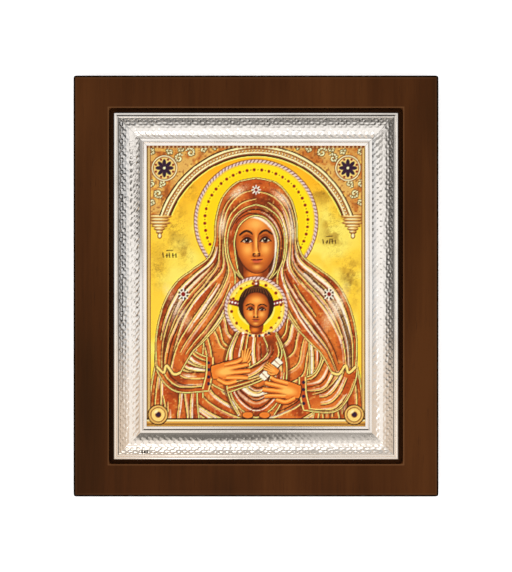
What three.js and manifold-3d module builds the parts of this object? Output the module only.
// A framed icon panel lying on its back, picture up: a dark stained board with a blind recess,
// a pressed and hammered silver border standing in the recess, and a printed picture plate
// held down by the border's inner lip.
// Millimetres. +X is to the picture's right, +Y to its top and +Z out of its front.
// The origin is the centre of the board's back face.
import * as THREE from "three";
import { mergeVertices } from "three/addons/utils/BufferGeometryUtils.js";
import Module from "manifold-3d";

const wasm = await Module();
wasm.setup();

// Board
const BOARD_WIDTH = 260;
const BOARD_HEIGHT = 300;
const BOARD_THICKNESS = 18;
const BOARD_CORNER_RADIUS = 1.8;
const BOARD_EDGE_RADIUS = 1.4;

// Recess in the board's front
const RECESS_DEPTH = 8;
const SHADOW_GAP = 3.3;
const RECESS_CORNER_RADIUS = 2.6;
const RECESS_MOUTH_CHAMFER = 0.8;
const RECESS_FLOOR = BOARD_THICKNESS - RECESS_DEPTH;

// Facets of the board's round edges and corners
const EDGE_FACETS = 4;
const CORNER_FACETS = 5;

// Picture plate
const PICTURE_WIDTH = 155.8;
const PICTURE_HEIGHT = 200;
const PLATE_THICKNESS = 4;
const PLATE_UNDER_LIP = 2.8;
const PLATE_CLEARANCE = 0.2;
const PICTURE_FACE = RECESS_FLOOR + PLATE_THICKNESS;

// Silver border, across its section from the outer wall inwards
const BORDER_WIDTH = 23.4;
const BORDER_OUTER_WIDTH = PICTURE_WIDTH + 2 * BORDER_WIDTH;
const BORDER_OUTER_HEIGHT = PICTURE_HEIGHT + 2 * BORDER_WIDTH;
const RIM_WIDTH = 1.6;
const RIM_ABOVE_BOARD = 1.1;
const RIM_CHAMFER = 0.4;
const GROOVE_WIDTH = 0.5;
const GROOVE_DEPTH = 1.1;
const BEAD_WIDTH = 1.3;
const BEAD_RISE = 0.5;
const CUSHION_WIDTH = 15.4;
const CUSHION_FOOT = BOARD_THICKNESS + 0.1;
const CUSHION_RISE = 3.3;
const CUSHION_SEGMENTS = 10;
const MARGIN_FALL = 0.3;
const LIP_WIDTH = 2.1;
const LIP_GROOVE_DEPTH = 0.7;
const LIP_ABOVE_PICTURE = 3;
const LIP_FALL = 0.4;

// Hammer marks on the cushion: low and high points by turns
const HAMMER_PITCH = 4.3;
const HAMMER_DEPTH = 0.35;

// Points nearer than this are one point
const TOLERANCE = 1e-4;

// A closed solid from a geometry whose corners meet.
function solid(geometry) {
  const bare = geometry.index ? geometry.toNonIndexed() : geometry.clone();
  bare.deleteAttribute("normal");
  bare.deleteAttribute("uv");
  const merged = mergeVertices(bare, TOLERANCE);
  return new wasm.Manifold(
    new wasm.Mesh({
      numProp: 3,
      vertProperties: merged.attributes.position.array,
      triVerts: new Uint32Array(merged.index.array),
    }),
  );
}

// The geometry of a closed solid.
function geometryOf(manifold) {
  const mesh = manifold.getMesh();
  return new THREE.BufferGeometry()
    .setAttribute("position", new THREE.BufferAttribute(mesh.vertProperties, 3))
    .setIndex(new THREE.BufferAttribute(mesh.triVerts, 1));
}

// A rectangle about the origin with round corners.
function roundedRectangle(width, height, radius) {
  const x = width / 2 - radius;
  const y = height / 2 - radius;
  return new THREE.Shape()
    .absarc(x, y, radius, 0, Math.PI / 2)
    .absarc(-x, y, radius, Math.PI / 2, Math.PI)
    .absarc(-x, -y, radius, Math.PI, 1.5 * Math.PI)
    .absarc(x, -y, radius, 1.5 * Math.PI, 2 * Math.PI);
}

// A slab from bottom to top whose front and back edges are cut back by edge, in so many facets.
function slab(width, height, radius, bottom, top, edge, facets) {
  const outline = roundedRectangle(width - 2 * edge, height - 2 * edge, radius - edge);
  return new THREE.ExtrudeGeometry(outline, {
    depth: top - bottom - 2 * edge,
    curveSegments: CORNER_FACETS,
    bevelEnabled: true,
    bevelThickness: edge,
    bevelSize: edge,
    bevelSegments: facets,
  }).translate(0, 0, bottom + edge);
}

// The board: its front and back edges are rounded, and the recess has a chamfered mouth.
function boardGeometry() {
  const board = slab(
    BOARD_WIDTH,
    BOARD_HEIGHT,
    BOARD_CORNER_RADIUS,
    0,
    BOARD_THICKNESS,
    BOARD_EDGE_RADIUS,
    EDGE_FACETS,
  );
  const recessWidth = BORDER_OUTER_WIDTH + 2 * SHADOW_GAP;
  const recessHeight = BORDER_OUTER_HEIGHT + 2 * SHADOW_GAP;
  const above = BOARD_THICKNESS + RECESS_DEPTH;
  const recess = new THREE.ExtrudeGeometry(
    roundedRectangle(recessWidth, recessHeight, RECESS_CORNER_RADIUS),
    { depth: above - RECESS_FLOOR, curveSegments: CORNER_FACETS, bevelEnabled: false },
  ).translate(0, 0, RECESS_FLOOR);
  const mouth = slab(
    recessWidth + 2 * RECESS_MOUTH_CHAMFER,
    recessHeight + 2 * RECESS_MOUTH_CHAMFER,
    RECESS_CORNER_RADIUS + RECESS_MOUTH_CHAMFER,
    BOARD_THICKNESS - RECESS_MOUTH_CHAMFER,
    above,
    RECESS_MOUTH_CHAMFER,
    1,
  );
  return geometryOf(solid(board).subtract(solid(recess)).subtract(solid(mouth)));
}

// The picture plate, a plain board that reaches under the border's lip.
function plateGeometry() {
  const reach = 2 * (PLATE_UNDER_LIP - PLATE_CLEARANCE);
  return new THREE.BoxGeometry(
    PICTURE_WIDTH + reach,
    PICTURE_HEIGHT + reach,
    PLATE_THICKNESS,
  ).translate(0, 0, RECESS_FLOOR + PLATE_THICKNESS / 2);
}

// The border's section as a closed run of points, each with its inset from the outer wall
// and its height: rim, groove, bead, hammered cushion, plain margin, groove and lip.
// Points on a hammered line carry the point that a hammer mark sinks to.
function borderSection() {
  const rim = BOARD_THICKNESS + RIM_ABOVE_BOARD;
  const beadStart = RIM_WIDTH + GROOVE_WIDTH;
  const lip = PICTURE_FACE + LIP_ABOVE_PICTURE;
  const lipStart = BORDER_WIDTH - LIP_WIDTH;
  const margin = CUSHION_FOOT - MARGIN_FALL;
  const cushionStart = beadStart + BEAD_WIDTH;
  const halfChord = CUSHION_WIDTH / 2;
  const radius = (halfChord ** 2 + CUSHION_RISE ** 2) / (2 * CUSHION_RISE);
  const halfAngle = Math.asin(halfChord / radius);
  const middle = cushionStart + halfChord;
  const centreHeight = CUSHION_FOOT + CUSHION_RISE - radius;

  const onCushion = (angle, r) => ({
    inset: middle + r * Math.sin(angle),
    height: centreHeight + r * Math.cos(angle),
  });
  const cushion = [];
  for (let i = 0; i <= CUSHION_SEGMENTS; i++) {
    const angle = halfAngle * ((2 * i) / CUSHION_SEGMENTS - 1);
    const point = onCushion(angle, radius);
    const atEdge = i === 0 || i === CUSHION_SEGMENTS;
    if (!atEdge) point.struck = { ...onCushion(angle, radius - HAMMER_DEPTH), line: i };
    cushion.push(point);
  }

  return [
    { inset: 0, height: RECESS_FLOOR },
    { inset: 0, height: rim - RIM_CHAMFER },
    { inset: RIM_CHAMFER, height: rim },
    { inset: RIM_WIDTH - RIM_CHAMFER, height: rim },
    { inset: RIM_WIDTH, height: rim - GROOVE_DEPTH },
    { inset: beadStart, height: rim - GROOVE_DEPTH },
    { inset: beadStart + BEAD_WIDTH / 3, height: CUSHION_FOOT + BEAD_RISE },
    { inset: cushionStart - BEAD_WIDTH / 3, height: CUSHION_FOOT + BEAD_RISE },
    ...cushion,
    { inset: lipStart - GROOVE_WIDTH, height: margin },
    { inset: lipStart - GROOVE_WIDTH / 2, height: lip - LIP_GROOVE_DEPTH },
    { inset: lipStart, height: lip },
    { inset: BORDER_WIDTH - RIM_CHAMFER, height: lip - LIP_FALL },
    { inset: BORDER_WIDTH, height: lip - LIP_FALL - RIM_CHAMFER },
    { inset: BORDER_WIDTH, height: PICTURE_FACE },
    { inset: BORDER_WIDTH - PLATE_UNDER_LIP, height: PICTURE_FACE },
    { inset: BORDER_WIDTH - PLATE_UNDER_LIP, height: RECESS_FLOOR },
  ];
}

// The border: its section taken round the rectangle, with mitred corners.
// A hammered line has a point at each half pitch, low and high by turns.
function borderGeometry() {
  const section = borderSection();
  const halfPitch = HAMMER_PITCH / 2;
  const positions = [];
  const triangles = [];

  // The points of one section point along one side, from corner to corner.
  function lineAlong(sectionPoint, side) {
    const length = side % 2 ? BORDER_OUTER_HEIGHT : BORDER_OUTER_WIDTH;
    const depth = side % 2 ? BORDER_OUTER_WIDTH : BORDER_OUTER_HEIGHT;
    const turn = (side * Math.PI) / 2;
    const cos = Math.round(Math.cos(turn));
    const sin = Math.round(Math.sin(turn));
    const half = length / 2 - sectionPoint.inset;
    const place = (along, { inset, height }, low) => {
      const x = along;
      const y = inset - depth / 2;
      return { along, low, at: [x * cos - y * sin, x * sin + y * cos, height] };
    };
    const line = [place(-half, sectionPoint, false)];
    if (sectionPoint.struck) {
      const last = Math.floor((half - halfPitch / 2) / halfPitch);
      for (let k = -last; k <= last; k++) {
        const low = (k + sectionPoint.struck.line) % 2 === 0;
        line.push(place(k * halfPitch, low ? sectionPoint.struck : sectionPoint, low));
      }
    }
    line.push(place(half, sectionPoint, false));
    return line;
  }

  function triangle(a, b, c) {
    const start = positions.length / 3;
    positions.push(...a.at, ...b.at, ...c.at);
    triangles.push(start, start + 1, start + 2);
  }

  // Fills the strip between two lines. Where their points are level, the cut joins high points.
  function fillBetween(outer, inner) {
    let i = 0;
    let j = 0;
    while (i < outer.length - 1 || j < inner.length - 1) {
      const ahead = i < outer.length - 1 ? outer[i + 1].along : Infinity;
      const innerAhead = j < inner.length - 1 ? inner[j + 1].along : Infinity;
      const level = Math.abs(ahead - innerAhead) < TOLERANCE;
      if (level ? outer[i].low : ahead < innerAhead) {
        triangle(outer[i], outer[i + 1], inner[j]);
        i++;
      } else {
        triangle(outer[i], inner[j + 1], inner[j]);
        j++;
      }
    }
  }

  for (let side = 0; side < 4; side++) {
    const lines = section.map((point) => lineAlong(point, side));
    lines.forEach((line, n) => fillBetween(line, lines[(n + 1) % lines.length]));
  }
  const geometry = new THREE.BufferGeometry()
    .setAttribute("position", new THREE.Float32BufferAttribute(positions, 3))
    .setIndex(triangles);
  return geometryOf(solid(geometry));
}

const stainedWood = new THREE.MeshStandardMaterial({
  color: 0x462714,
  roughness: 0.45,
  metalness: 0,
});
const polishedSilver = new THREE.MeshStandardMaterial({
  color: 0xe9e4de,
  roughness: 0.2,
  metalness: 1,
});
const printedPicture = new THREE.MeshStandardMaterial({
  color: 0xd99a3c,
  roughness: 0.4,
  metalness: 0,
});

function piece(name, geometry, material) {
  const mesh = new THREE.Mesh(geometry, material);
  mesh.name = name;
  return mesh;
}

const iconPanel = new THREE.Group();
iconPanel.add(
  piece("wooden_board", boardGeometry(), stainedWood),
  piece("silver_border", borderGeometry(), polishedSilver),
  piece("picture_plate", plateGeometry(), printedPicture),
);

export default iconPanel;
